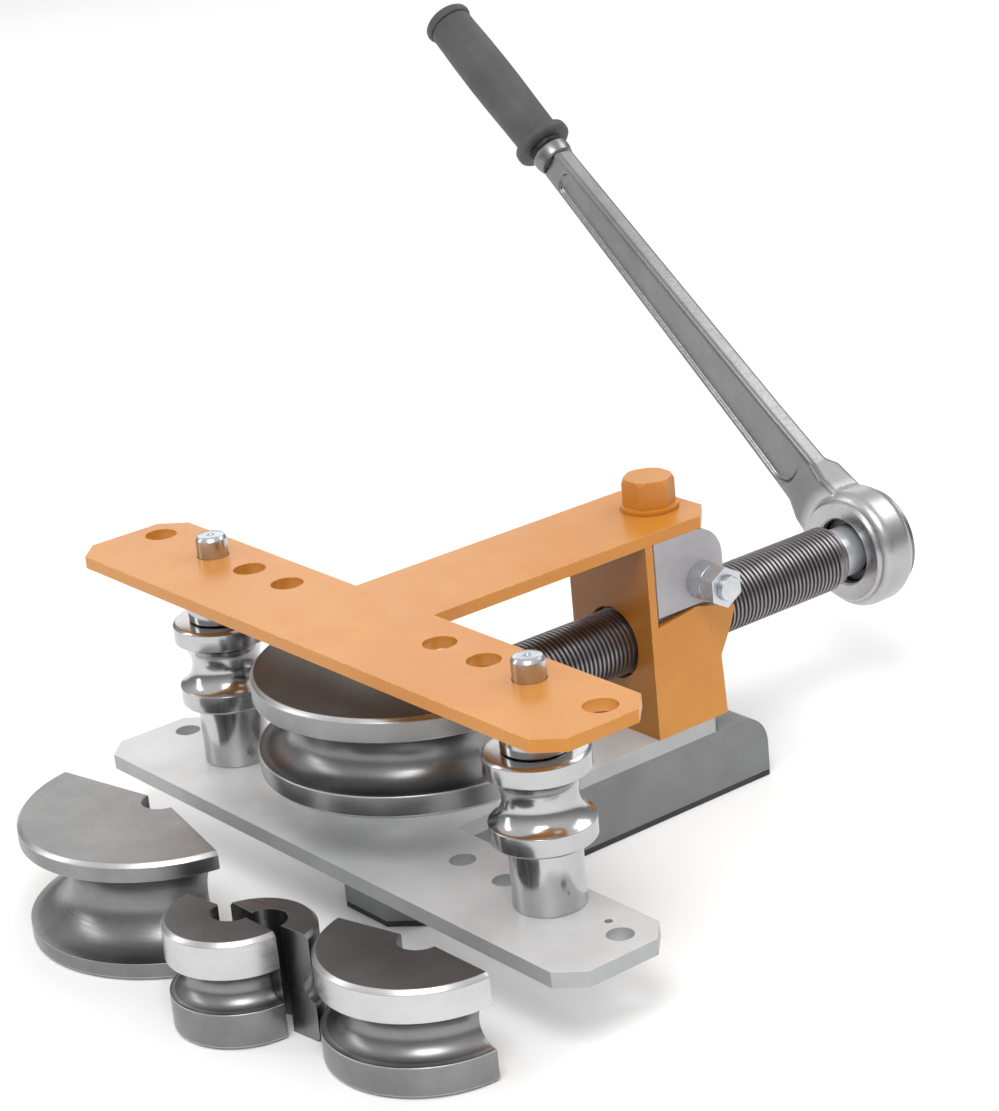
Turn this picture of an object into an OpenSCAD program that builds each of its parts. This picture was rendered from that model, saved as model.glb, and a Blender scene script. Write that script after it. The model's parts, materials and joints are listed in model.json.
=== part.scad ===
// Manual tube bender: a screw drives a grooved former between two rollers that are
// held between a pair of T-shaped plates. A ratchet handle turns the screw.
// Origin: centre of the foot's underside. +Y runs along the screw to the ratchet,
// +X along the crossbar, +Z up. Millimetres.

/* [Frame plates] */
// Length of the crossbar, along X
bar_len = 480; // [480:10:560]
// Width of the crossbar, along Y
bar_w = 80; // [76:2:90]
// Width of the stem that runs back from the crossbar
stem_w = 78; // [76:1:84]
// Depth of a plate from the crossbar's front edge to the end of the stem
frame_depth = 308; // [300:2:330]
// Thickness of the top plate
top_t = 8; // [6:1:12]
// Thickness of the bottom plate
bottom_t = 10; // [8:1:14]
// Clear height between the two plates
plate_gap = 131; // [131:1:140]
// Length cut off each corner of the crossbar
corner_cut = 15; // [8:1:20]

/* [Foot] */
// Length of the foot channel, along Y
foot_len = 304; // [304:2:320]
// Height of the foot channel
foot_h = 42; // [40:1:60]
// Thickness of the rubber sole
sole_t = 4; // [3:0.5:8]
// Radius of the channel's upper rear corner
foot_round = 22; // [15:1:28]

/* [Rollers] */
// Distance from the centre plane to each roller pin
roller_x = 159; // [159:1:160]
// Distance from the crossbar's front edge to the line of pin holes
pin_line = 55; // [52:1:56]
// Radius of a roller pin
pin_r = 10; // [9:0.5:10]
// Radius at the bottom of a roller's groove
waist_r = 22.3; // [20:0.1:24]
// Radius of a roller's flanges
roller_flange_r = 31.5; // [30:0.5:33]

/* [Screw] */
// Radius of the screw over its thread
screw_r = 22; // [21:0.5:22.5]
// Height of the screw's axis above the ground
screw_z = 114; // [113:1:118]
// Length of the threaded part
thread_len = 312; // [300:2:320]

/* [Ratchet handle] */
// Angle of the handle above the horizontal
handle_angle = 38.4; // [20:0.2:60]
// Distance from the screw's axis to the end of the grip
handle_len = 525; // [500:5:600]
// Length of the rubber grip
grip_len = 137; // [120:1:150]
// Radius of the ratchet head
head_r = 41; // [40:0.5:43]
// Number of teeth on the ratchet gear
gear_teeth = 20; // [16:1:24]

/* [Formers] */
// Height of the tube's centreline above the ground
tube_z = 125; // [123:1:126]
// Outer radius of the tube that the mounted former takes
tube_r = 16.85; // [15:0.05:17]
// Radius of the bend that the mounted former makes
bend_r = 94; // [92:1:95]
// Radius of the vertical seat in the back of every former
seat_r = 13; // [11:0.5:14]

/* [Hidden] */
$fn = 96;
eps = 0.01;
// Radial clearance of a running fit, of a collar on its bolt, and of a bolt in its hole
run = 0.05;
slip = 0.1;
bolt_gap = 0.4;

under_plate = sole_t + foot_h;
bottom_z = under_plate + bottom_t;
top_z = bottom_z + plate_gap;
roof_z = top_z + top_t;
front_overhang = 34;
front_y = -foot_len / 2 - front_overhang;
pin_y = front_y + pin_line;
stem_end_y = front_y + frame_depth;

// Places along the crossbar of the pin holes on each side
hole_xs = [77, 118, roller_x, 220];
stub_r = 8;
top_hole_r = pin_r + 0.25;
bottom_hole_r = stub_r + 0.2;

// Foot: wall, cut of its front corners, and places of the screws in its front
foot_wall = 4;
foot_cut = 18;
front_screws = [[-22, -60], [22, -60]];
front_screw_r = 5;
countersink_r = 10;

// Hole for a thin locating pin, beside the outermost pin hole
locator = [-17, 6];
locator_r = 2.5;

// Nut bracket and nut block, behind the middle of the stem
wall = 6;
bracket_y = front_y + 246;
bracket_w = 78;
bracket_floor_t = 8;
screw_gap = 2;
block_y = bracket_y + wall + 1;
block_len = 56;
block_round = 22;
block_low_z = bottom_z + bracket_floor_t;
block_step_z = bottom_z + 81.5;
nut_len = 46;
nut_r = 27;
foot_bolts = [for (x = [-20, 20]) for (y = [78, 102]) [x, y]];
foot_bolt_r = 6;
cross_bolt = [104, 153];
cross_bolt_r = 8;
cross_bolt_x = -61;
cross_hex = 24;
collar_len = 12;
top_bolt_y = 99;
top_bolt_r = 10;
top_washer_t = 3;

// Rollers: half height, groove radius, wall of the bush, and play at the ends
roller_half = 28;
roller_groove_r = 17.6;
bush_wall = 3;
end_play = 0.4;
pin_stands = 12;
pin_taper = 2;

// Former and thrust head
former_y = front_y + 87;
former_h = 64;
head_y0 = former_y + 3;
head_y1 = former_y + 39;
head_w = 50;
spigot_r = 12;
spigot_len = 24;
washer_t = 4;
screw_y0 = head_y1 + washer_t;
screw_y1 = screw_y0 + thread_len;
shelf_t = 6;
head_z = tube_z - former_h / 2;
head_h = screw_z + head_w / 2 - head_z;
shelf_z = head_z - shelf_t;
shelf_screws_at = [[-17, head_y0 + 18], [17, head_y0 + 18]];
shelf_screw_r = 3;
groove_root_r = 9;
set_screw_y = head_y1 - spigot_len + 10.5;
set_screw_r = 4;
peg_out = 24;
peg_r = 5;
peg_y = former_y - peg_out;

// Ratchet head, in a frame whose +Z runs out along the handle
ratchet_y = screw_y1 + 26;
ratchet_w = 28;
head_roll = 8;
front_wall = 4;
ring_r = 35.5;
ring_stands = 3;
neck_hole_r = 22.5;
neck_r = 17;
square_w = 24;
square_gap = 0.1;
stub_end_r = 10;
gear_r = 25;
gear_w = 18;
tooth_h = 3;
bar_t = 16;
shoulder_t = 4;
pocket_w = 18;
tang_r = 9;
ferrule_len = 16;
cap_len = 9;
grip_start = handle_len - grip_len;
pawl_out = 42;
pawl_pin_z = pawl_out - 6;
pawl_pin_r = 3;
selector_z = pawl_out - 4;
cover_t = 3;
cover_screw_at = 30.6;
cover_screw_r = 1.9;
cover_screw_angles = [90, 210, 330];

// ---------- helpers ----------

// A cylinder along +X or +Y from the given start
module rod_x(r, len) rotate([0, 90, 0]) cylinder(r = r, h = len);
module rod_y(r, len) rotate([-90, 0, 0]) cylinder(r = r, h = len);

// A hexagon's corner radius from its width across flats
function hex_r(flats) = flats / sqrt(3);

module hex_head(flats, h) cylinder(r = hex_r(flats), h = h, $fn = 6);

// Upright holes at a list of places
module holes_at(places, r, z, h) for (p = places) translate([p.x, p.y, z]) cylinder(r = r, h = h);

// An outline drawn as [y, z] and extruded by w along X, centred
module side_profile(w) rotate([90, 0, 90]) translate([0, 0, -w / 2]) linear_extrude(w) children();

// ---------- foot ----------

// Plan of the foot: square at the back, with cut corners at the front
module foot_plan(inset) {
    w = stem_w / 2 - inset;
    y0 = -foot_len / 2 + inset;
    y1 = foot_len / 2 - inset;
    c = foot_cut - inset / 2;
    polygon([[-w, y1], [-w, y0 + c], [-w + c, y0], [w - c, y0], [w, y0 + c], [w, y1]]);
}

// Side view of the foot with a round upper rear corner
module foot_side(inset) {
    y0 = -foot_len / 2 + inset;
    y1 = foot_len / 2 - inset;
    top = under_plate - inset;
    r = foot_round - inset;
    translate([y0, sole_t]) square([y1 - r - y0, top - sole_t]);
    translate([y0, sole_t]) square([y1 - y0, top - r - sole_t]);
    translate([y1 - r, top - r]) circle(r);
}

module foot_solid(inset) intersection() {
    side_profile(stem_w) foot_side(inset);
    translate([0, 0, sole_t]) linear_extrude(foot_h) foot_plan(inset);
}

module base_foot() color("silver") difference() {
    foot_solid(0);
    foot_solid(foot_wall);
    holes_at(foot_bolts, foot_bolt_r + bolt_gap, sole_t + foot_h / 2, foot_h);
    holes_at(front_screws, front_screw_r + bolt_gap, sole_t + foot_h / 2, foot_h);
}

module base_sole() color("dimgray") linear_extrude(sole_t) foot_plan(0);

// Countersunk screws that hold the front of the foot, with their nuts inside it
module foot_screws() color("gray") for (p = front_screws) translate([p.x, p.y, 0]) {
    translate([0, 0, under_plate - 16]) cylinder(r = front_screw_r, h = 16 + bottom_t - 5);
    translate([0, 0, bottom_z - 5]) cylinder(r1 = front_screw_r, r2 = countersink_r, h = 5 - 0.3);
    translate([0, 0, under_plate - foot_wall - 8]) hex_head(17, 8);
}

// ---------- plates ----------

module tee_outline() {
    l = bar_len / 2;
    s = stem_w / 2;
    c = corner_cut;
    back = front_y + bar_w;
    polygon([
        [-l + c, front_y], [l - c, front_y], [l, front_y + c], [l, back - c], [l - c, back],
        [s, back], [s, stem_end_y - c], [s - c, stem_end_y],
        [-s + c, stem_end_y], [-s, stem_end_y - c],
        [-s, back], [-l + c, back], [-l, back - c], [-l, front_y + c]
    ]);
}

module pin_holes(r) for (s = [-1, 1]) for (x = hole_xs) translate([s * x, pin_y, -1]) cylinder(r = r, h = 40);

module bottom_plate() color("lightgray") difference() {
    translate([0, 0, under_plate]) linear_extrude(bottom_t) tee_outline();
    translate([0, 0, under_plate]) pin_holes(bottom_hole_r);
    translate([hole_xs[3] + locator.x, pin_y + locator.y, under_plate - 1]) cylinder(r = locator_r, h = 20);
    holes_at(foot_bolts, foot_bolt_r + bolt_gap, under_plate - 1, 20);
    holes_at(front_screws, front_screw_r + bolt_gap, under_plate - 1, 20);
    for (p = front_screws) translate([p.x, p.y, bottom_z - 5.4])
        cylinder(r1 = front_screw_r + bolt_gap, r2 = countersink_r + 1, h = 5.6);
}

module top_plate() color("orange") difference() {
    translate([0, 0, top_z]) linear_extrude(top_t) tee_outline();
    translate([0, 0, top_z]) pin_holes(top_hole_r);
    translate([0, top_bolt_y, top_z - 1]) cylinder(r = top_bolt_r + bolt_gap, h = 20);
}

// ---------- nut bracket and block ----------

// Side cheek of the bracket, as [y, z] from the bracket's front face and the bottom plate
module cheek_outline() translate([bracket_y, bottom_z]) polygon([
    [0, 0], [59, 0], [57, 41], [67, 59], [71, 71], [39, 80], [0, 74]
]);

module nut_bracket() color("darkorange") difference() {
    union() {
        translate([-bracket_w / 2, bracket_y, bottom_z]) cube([bracket_w, wall, plate_gap]);
        for (s = [-1, 1]) translate([s * (bracket_w - wall) / 2, 0, 0]) side_profile(wall) cheek_outline();
        translate([-bracket_w / 2 + 1, bracket_y + 1, bottom_z]) cube([bracket_w - 2, 50, bracket_floor_t]);
    }
    translate([0, bracket_y - 1, screw_z]) rod_y(screw_r + screw_gap, wall + 2);
    holes_at(foot_bolts, foot_bolt_r + bolt_gap, bottom_z - 1, bracket_floor_t + 2);
}

module bracket_screws() color("gray") for (p = foot_bolts) translate([p.x, p.y, 0]) {
    translate([0, 0, under_plate - foot_wall - 8]) hex_head(19, 8);
    translate([0, 0, under_plate - foot_wall - eps])
        cylinder(r = foot_bolt_r, h = block_low_z + 18 - under_plate + foot_wall);
}

// Side view of the block's upper part, with a round upper rear corner
module block_top_side() {
    r = block_round;
    h = top_z - block_step_z;
    translate([block_y, block_step_z]) {
        square([block_len - r, h]);
        square([block_len, h - r]);
        translate([block_len - r, h - r]) circle(r);
    }
}

module nut_block() color("darkgray") difference() {
    union() {
        side_profile(bracket_w) block_top_side();
        translate([-bracket_w / 2 + wall + 0.5, block_y, block_low_z])
            cube([bracket_w - 2 * wall - 1, nut_len, block_step_z - block_low_z + 1]);
    }
    translate([0, block_y - 1, screw_z]) rod_y(nut_r, nut_len + 1);
    translate([0, block_y - 1, screw_z]) rod_y(screw_r + screw_gap, block_len + 2);
    translate([-bracket_w, cross_bolt[0], cross_bolt[1]]) rod_x(cross_bolt_r + slip, 2 * bracket_w);
    translate([0, top_bolt_y, top_z - 24]) cylinder(r = top_bolt_r, h = 30);
    holes_at(foot_bolts, foot_bolt_r, block_low_z - 1, 20);
}

module spindle_nut() color("goldenrod") translate([0, block_y, screw_z]) difference() {
    rod_y(nut_r, nut_len);
    translate([0, -1, 0]) rod_y(screw_r + run, nut_len + 2);
}

// Cross bolt through the block: head at the left, nut at the right
module cross_bolt_bar() color("silver") translate([0, cross_bolt[0], cross_bolt[1]]) {
    translate([cross_bolt_x, 0, 0]) rod_x(cross_bolt_r, 128);
    translate([cross_bolt_x, 0, 0]) rotate([0, 90, 0]) hex_head(cross_hex, 10);
}

module cross_bolt_collars() color("gray") for (x = [-bracket_w / 2 - collar_len, bracket_w / 2])
    translate([x, cross_bolt[0], cross_bolt[1]]) difference() {
        rod_x(12.5, collar_len);
        translate([-1, 0, 0]) rod_x(cross_bolt_r + slip, collar_len + 2);
    }

module cross_bolt_nut() color("silver")
    translate([bracket_w / 2 + collar_len, cross_bolt[0], cross_bolt[1]]) difference() {
        rotate([0, 90, 0]) hex_head(cross_hex, 12);
        translate([-1, 0, 0]) rod_x(cross_bolt_r, 14);
    }

module top_bolt_washer() color("darkorange") translate([0, top_bolt_y, roof_z]) difference() {
    cylinder(r = 19, h = top_washer_t);
    translate([0, 0, -1]) cylinder(r = top_bolt_r + bolt_gap, h = top_washer_t + 2);
}

module top_bolt() color("darkorange") translate([0, top_bolt_y, roof_z + top_washer_t]) {
    intersection() {
        hex_head(30, 18);
        cylinder(r1 = 25, r2 = 15.5, h = 18);
    }
    translate([0, 0, -33]) cylinder(r = top_bolt_r, h = 34);
}

// ---------- rollers ----------

// Groove with round walls between two flanges, turned about the pin
module roller() rotate_extrude() difference() {
    translate([pin_r + bush_wall, -roller_half]) square([roller_flange_r - pin_r - bush_wall, 2 * roller_half]);
    translate([waist_r + roller_groove_r, 0]) circle(roller_groove_r);
    for (z = [-roller_half, roller_half]) translate([roller_flange_r, z]) rotate(45) square(2.4, center = true);
}

module at_pin(side) translate([side * roller_x, pin_y, 0]) children();

module roller_at(side) color("gainsboro") at_pin(side) translate([0, 0, tube_z]) roller();

module bush_at(side) color("goldenrod") at_pin(side) translate([0, 0, tube_z - roller_half]) difference() {
    cylinder(r = pin_r + bush_wall, h = 2 * roller_half);
    translate([0, 0, -1]) cylinder(r = pin_r + run, h = 2 * roller_half + 2);
}

module spacer(r, h) difference() {
    cylinder(r = r, h = h);
    translate([0, 0, -1]) cylinder(r = pin_r + 0.15, h = h + 2);
}

module lower_spacer_at(side) color("gainsboro") at_pin(side) translate([0, 0, bottom_z])
    spacer(21.7, tube_z - roller_half - end_play - bottom_z);

module upper_spacer_at(side) color("gainsboro") at_pin(side) translate([0, 0, tube_z + roller_half + end_play])
    spacer(20.5, top_z - tube_z - roller_half - 1.5 * end_play);

// Stepped pin: its narrow stub sits in the bottom plate, its round end stands above the top plate
module roller_pin_at(side) color("silver") at_pin(side) {
    translate([0, 0, under_plate + 1]) cylinder(r = stub_r, h = bottom_t);
    translate([0, 0, bottom_z]) cylinder(r = pin_r, h = plate_gap + top_t + pin_stands);
    translate([0, 0, roof_z + pin_stands - eps]) cylinder(r1 = pin_r, r2 = pin_r - pin_taper, h = pin_taper);
}

// ---------- screw and thrust head ----------

module spindle() color("dimgray") translate([0, 0, screw_z]) {
    translate([0, screw_y0, 0]) rod_y(screw_r, thread_len);
    translate([0, head_y1 - spigot_len, 0]) difference() {
        rod_y(spigot_r, spigot_len + washer_t + 1);
        translate([0, 6, 0]) difference() {
            rod_y(spigot_r + 1, 9);
            translate([0, -1, 0]) rod_y(groove_root_r, 11);
        }
    }
    translate([0, screw_y1 - eps, 0]) rod_y(neck_r, ratchet_y - gear_w / 2 - screw_y1);
    translate([-square_w / 2, screw_y1 + 4, -square_w / 2])
        cube([square_w, ratchet_y + gear_w / 2 - screw_y1 - 4, square_w]);
    translate([0, ratchet_y, 0]) rod_y(stub_end_r, gear_w / 2 + 16);
}

module thrust_washer() color("goldenrod") translate([0, head_y1, screw_z]) difference() {
    rod_y(screw_r - 0.5, washer_t);
    translate([0, -1, 0]) rod_y(spigot_r + run, washer_t + 2);
}

// Block with a vertical half-round nose that sits in the former's seat
module thrust_head() color("gray") difference() {
    translate([0, 0, head_z]) union() {
        translate([-head_w / 2, head_y0, 0]) cube([head_w, head_y1 - head_y0, head_h]);
        translate([0, former_y, 0]) cylinder(r = seat_r - 0.3, h = head_h);
        translate([-seat_r + 0.3, former_y, 0]) cube([2 * seat_r - 0.6, 5, head_h]);
    }
    translate([0, head_y1 - spigot_len - 1, screw_z]) rod_y(spigot_r + run, spigot_len + 6);
    translate([0, set_screw_y, screw_z]) cylinder(r = set_screw_r, h = 40);
    holes_at(shelf_screws_at, shelf_screw_r, head_z - 1, 14);
}

module head_set_screw() color("dimgray")
    translate([0, set_screw_y, screw_z + groove_root_r + 0.2]) difference() {
        cylinder(r = set_screw_r, h = 15);
        translate([0, 0, 11]) hex_head(4, 5);
    }

module former_shelf() color("gray") difference() {
    translate([-head_w / 2, former_y - 45, shelf_z]) cube([head_w, head_y1 - former_y + 45, shelf_t]);
    holes_at(shelf_screws_at, shelf_screw_r + bolt_gap, shelf_z - 1, shelf_t + 2);
    translate([0, peg_y, shelf_z - 1]) cylinder(r = peg_r, h = shelf_t + 2);
}

module shelf_screws() color("dimgray") for (p = shelf_screws_at) translate([p.x, p.y, shelf_z]) {
    translate([0, 0, -4]) hex_head(10, 4);
    translate([0, 0, -eps]) cylinder(r = shelf_screw_r, h = shelf_t + 12);
}

module former_peg() color("silver") translate([0, peg_y, shelf_z]) cylinder(r = peg_r, h = shelf_t + 18);

// ---------- formers ----------

// A grooved disc cut back to about half. The groove takes a tube of radius groove_r bent to
// radius bend. slope is the fall of the back faces, in degrees, and set_back moves them forward.
module former(flange_r, h, groove_r, bend, slope, set_back = 0) difference() {
    rotate_extrude() difference() {
        translate([0, -h / 2]) square([flange_r, h]);
        translate([bend, 0]) circle(groove_r);
        translate([bend, -groove_r]) square([flange_r, 2 * groove_r]);
        for (s = [-1, 1]) translate([flange_r, s * h / 2]) rotate(45) square(3.5, center = true);
    }
    translate([0, -set_back, -h]) linear_extrude(2 * h) polygon([
        [0, 0], [200, -200 * tan(slope)], [200, 200], [-200, 200], [-200, -200 * tan(slope)]
    ]);
    translate([0, -set_back, -h]) cylinder(r = seat_r, h = 2 * h);
    translate([0, -set_back - peg_out, -h / 2 - 1]) cylinder(r = peg_r + 0.2, h = 20);
}

module former_mounted() color("dimgray") translate([0, former_y, tube_z])
    former(98, former_h, tube_r + 0.15, bend_r, 8);

// Loose formers stand on the ground in front of the crossbar: [x, y, turn]
module loose(x, y, turn, h) translate([x, y, h / 2]) rotate(turn) children();

module former_large() color("dimgray") loose(-97, front_y - 41, 0, 77) former(90.5, 77, 27, 90, 12);
module former_small() color("dimgray") loose(47, front_y - 88, 4, 68) former(42, 68, 11, 42, 3);
module former_mini() color("dimgray") loose(72, front_y - 91, 184, 68) former(37, 68, 8.5, 37, 3, 9);
module former_medium() color("dimgray") loose(156, front_y - 36, 8, 67) former(61, 67, 13.5, 61, 7);

// ---------- ratchet handle ----------

// Places children in the ratchet head's frame: +Z out along the handle, +Y along the screw
module on_handle() translate([0, ratchet_y, screw_z]) rotate([0, handle_angle - 90, 0]) children();

// Ratchet gear with saw-shaped teeth on the spindle's square
function tooth_ring(n, tip, root) = [for (i = [0 : n - 1]) for (k = [0, 1, 2])
    let (a = 360 / n * (i + [0, 0.35, 0.65][k]), r = [root, tip, tip][k]) [r * cos(a), r * sin(a)]];

module ratchet_gear() color("dimgray") translate([0, ratchet_y - gear_w / 2, screw_z]) difference() {
    rotate([-90, 0, 0]) linear_extrude(gear_w) polygon(tooth_ring(gear_teeth, gear_r, gear_r - tooth_h));
    translate([-square_w / 2 - square_gap, -1, -square_w / 2 - square_gap])
        cube([square_w + 2 * square_gap, gear_w + 2, square_w + 2 * square_gap]);
}

module drive_washer() color("silver") translate([0, ratchet_y + gear_w / 2, screw_z]) difference() {
    rod_y(16, 3);
    translate([0, -1, 0]) rod_y(stub_end_r + slip, 5);
}

module drive_nut() color("silver") translate([0, ratchet_y + gear_w / 2 + 3, screw_z]) difference() {
    rotate([-90, 0, 0]) hex_head(28, 11);
    translate([0, -1, 0]) rod_y(stub_end_r, 13);
}

// Outline of the forged bar, drawn as [x, z], widening from the grip to the head
module bar_outline(inset) {
    top = grip_start - ferrule_len - 3 * inset;
    start = inset == 0 ? 0 : head_r + 22;
    wide = inset == 0 ? 22 : 20;
    polygon([
        [-wide + inset, start], [-18.5 + inset, 115], [-12.5 + inset, top],
        [12.5 - inset, top], [18.5 - inset, 115], [wide - inset, start]
    ]);
}

// Round head with rolled edges, drawn as [radius, y]
module head_profile() {
    translate([0, -ratchet_w / 2]) square([head_r - head_roll, ratchet_w]);
    translate([0, -ratchet_w / 2 + head_roll]) square([head_r, ratchet_w - 2 * head_roll]);
    for (s = [-1, 1]) translate([head_r - head_roll, s * (ratchet_w / 2 - head_roll)]) circle(head_roll);
}

// Side view of the thick shoulder round the pawl's pocket, drawn as [y, z]
module shoulder_side() polygon([
    [-bar_t / 2 - shoulder_t, 0], [-bar_t / 2 - shoulder_t, 46], [-bar_t / 2, 60],
    [bar_t / 2, 62], [ratchet_w / 2, 54], [ratchet_w / 2, 0]
]);

module ratchet_handle() color("silver") on_handle() difference() {
    union() {
        rotate([-90, 0, 0]) rotate_extrude() intersection() {
            head_profile();
            translate([0, -50]) square([100, 100]);
        }
        rotate([90, 0, 0]) translate([0, 0, -bar_t / 2]) linear_extrude(bar_t) bar_outline(0);
        intersection() {
            rotate([90, 0, 0]) translate([0, 0, -ratchet_w]) linear_extrude(2 * ratchet_w) bar_outline(0);
            side_profile(2 * head_r) shoulder_side();
        }
        translate([0, 0, grip_start - ferrule_len]) cylinder(r = tang_r, h = grip_len - 10);
        translate([0, -ratchet_w / 2 - ring_stands, 0]) rod_y(ring_r, ring_stands + front_wall);
    }
    translate([0, -ratchet_w / 2 - ring_stands - 1, 0]) rod_y(neck_hole_r, 20);
    translate([0, -ratchet_w / 2 + 2, pawl_pin_z]) rod_y(pawl_pin_r, front_wall);
    translate([0, -ratchet_w / 2 + front_wall, 0]) rod_y(gear_r + 2, ratchet_w);
    translate([-pocket_w / 2, -ratchet_w / 2 + front_wall, 0]) cube([pocket_w, ratchet_w, pawl_out + 6]);
    for (s = [-1, 1]) rotate([90, 0, 0]) translate([0, 0, s * bar_t / 2 - 3]) linear_extrude(6) bar_outline(5);
    for (a = cover_screw_angles) rotate([0, a, 0]) translate([cover_screw_at, ratchet_w / 2 - 7, 0])
        rod_y(cover_screw_r, 10);
}

module ratchet_cover() color("silver") on_handle() translate([0, ratchet_w / 2, 0]) difference() {
    union() {
        rod_y(36, cover_t);
        translate([-11, 0, 0]) cube([22, cover_t, pawl_out + 12]);
    }
    translate([0, -1, 0]) rod_y(19, cover_t + 2);
    for (a = cover_screw_angles) rotate([0, a, 0]) translate([cover_screw_at, -1, 0])
        rod_y(cover_screw_r + 0.3, cover_t + 3);
    translate([0, -1, selector_z]) rod_y(3.3, cover_t + 3);
}

module cover_screws() color("gray") on_handle() for (a = cover_screw_angles) rotate([0, a, 0])
    translate([cover_screw_at, ratchet_w / 2 - 7, 0]) {
        rod_y(cover_screw_r, 10);
        translate([0, 10, 0]) rod_y(3.4, 2);
    }

// Two-toothed pawl that rocks on its pin
module pawl() color("dimgray") on_handle() difference() {
    rotate([90, 0, 0]) translate([0, 0, -8]) linear_extrude(16) polygon([
        [-8, pawl_out - 8], [-6, gear_r + 1.2], [-3, gear_r + 4], [3, gear_r + 4], [6, gear_r + 1.2],
        [8, pawl_out - 8], [5, pawl_out], [-5, pawl_out]
    ]);
    translate([0, -9, pawl_pin_z]) rod_y(pawl_pin_r + slip, 18);
}

module pawl_pin() color("silver") on_handle() translate([0, -ratchet_w / 2 + 2, pawl_pin_z])
    rod_y(pawl_pin_r, ratchet_w - 6);

module pawl_spring() color("silver") on_handle() translate([0, 0, pawl_out + 0.9]) cylinder(r = 3, h = 5);

module selector_lever() color("dimgray") on_handle()
    translate([0, ratchet_w / 2 + cover_t + 0.2, selector_z]) difference() {
        union() {
            rod_y(8, 6);
            translate([-4, 0, 0]) cube([8, 6, 22]);
            translate([0, -6, 0]) rod_y(3.2, 7);
        }
        translate([0, -6.5, 0]) rod_y(1.5, 3);
    }

// ---------- grip ----------

module ferrule() color("silver") on_handle() translate([0, 0, grip_start - ferrule_len]) difference() {
    rotate_extrude() polygon([[0, 0], [13.5, 0], [14.5, 4], [14.5, 10], [13, 15.8], [0, 15.8]]);
    translate([0, 0, -1]) cylinder(r = tang_r, h = ferrule_len + 2);
}

module grip() color("dimgray") on_handle() translate([0, 0, grip_start]) difference() {
    rotate_extrude() polygon([
        [0, 0], [20.5, 0], [21.5, 1.5], [21.5, 6.5], [20.5, 8], [16.5, 10], [17.5, grip_len * 0.45],
        [17.5, grip_len * 0.7], [16.5, grip_len - 14], [16.5, grip_len - cap_len], [0, grip_len - cap_len]
    ]);
    translate([0, 0, -1]) cylinder(r = tang_r, h = grip_len - 25);
}

module grip_end_cap() color("black") on_handle() translate([0, 0, handle_len - cap_len]) rotate_extrude()
    polygon([[0, 0], [17.5, 0], [18.2, 2], [18.2, 5], [15.5, 8], [9, cap_len], [0, cap_len]]);

// ---------- assembly ----------

base_sole();
base_foot();
foot_screws();
bottom_plate();
top_plate();
nut_bracket();
bracket_screws();
nut_block();
spindle_nut();
cross_bolt_bar();
cross_bolt_collars();
cross_bolt_nut();
top_bolt();
top_bolt_washer();
lower_spacer_at(-1);  // lower_spacer_left
lower_spacer_at(1);  // lower_spacer_right
upper_spacer_at(-1);  // upper_spacer_left
upper_spacer_at(1);  // upper_spacer_right
roller_at(-1);  // roller_left
roller_at(1);  // roller_right
bush_at(-1);  // roller_bush_left
bush_at(1);  // roller_bush_right
roller_pin_at(-1);  // roller_pin_left
roller_pin_at(1);  // roller_pin_right
spindle();
thrust_washer();
thrust_head();
head_set_screw();
former_shelf();
shelf_screws();
former_peg();
former_mounted();
ratchet_gear();
drive_washer();
drive_nut();
ratchet_handle();
ratchet_cover();
cover_screws();
pawl();
pawl_pin();
pawl_spring();
selector_lever();
ferrule();
grip();
grip_end_cap();
former_large();
former_small();
former_medium();
former_mini();
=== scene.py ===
import json
import math
import bpy
import bmesh
from mathutils import Matrix, Vector


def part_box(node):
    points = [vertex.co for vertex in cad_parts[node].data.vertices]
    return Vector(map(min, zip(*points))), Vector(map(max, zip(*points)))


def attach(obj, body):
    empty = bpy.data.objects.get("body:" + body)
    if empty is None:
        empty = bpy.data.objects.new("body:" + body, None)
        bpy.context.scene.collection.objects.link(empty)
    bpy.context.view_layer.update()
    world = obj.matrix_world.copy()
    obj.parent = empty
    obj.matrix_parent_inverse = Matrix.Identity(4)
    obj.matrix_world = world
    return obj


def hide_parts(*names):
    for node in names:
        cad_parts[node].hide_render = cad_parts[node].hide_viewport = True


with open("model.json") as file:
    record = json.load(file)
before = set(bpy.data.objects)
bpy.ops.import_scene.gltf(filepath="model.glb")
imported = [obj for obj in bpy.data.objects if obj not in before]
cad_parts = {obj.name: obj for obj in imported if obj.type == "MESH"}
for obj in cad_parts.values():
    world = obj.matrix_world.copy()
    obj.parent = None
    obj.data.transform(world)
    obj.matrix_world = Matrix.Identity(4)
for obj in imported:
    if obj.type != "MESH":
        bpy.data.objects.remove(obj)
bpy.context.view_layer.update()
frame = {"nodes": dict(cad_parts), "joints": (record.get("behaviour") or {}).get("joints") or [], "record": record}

NODES = frame["nodes"]
SLOTS = {s["node"]: s["material_slot"] for s in frame["record"]["subparts"]}
BODY = {n: b for b, ns in frame["record"]["behaviour"]["bodies"].items() for n in ns}
MM = 0.001

# ---------------------------------------------------------------- camera

CAMERA_AT = Vector((1.4117, -1.0849, 0.8449))
AZIMUTH, ELEVATION, ROLL = 53.077, 20.098, 5.530
LENS, SENSOR = 99.03, 36


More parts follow.
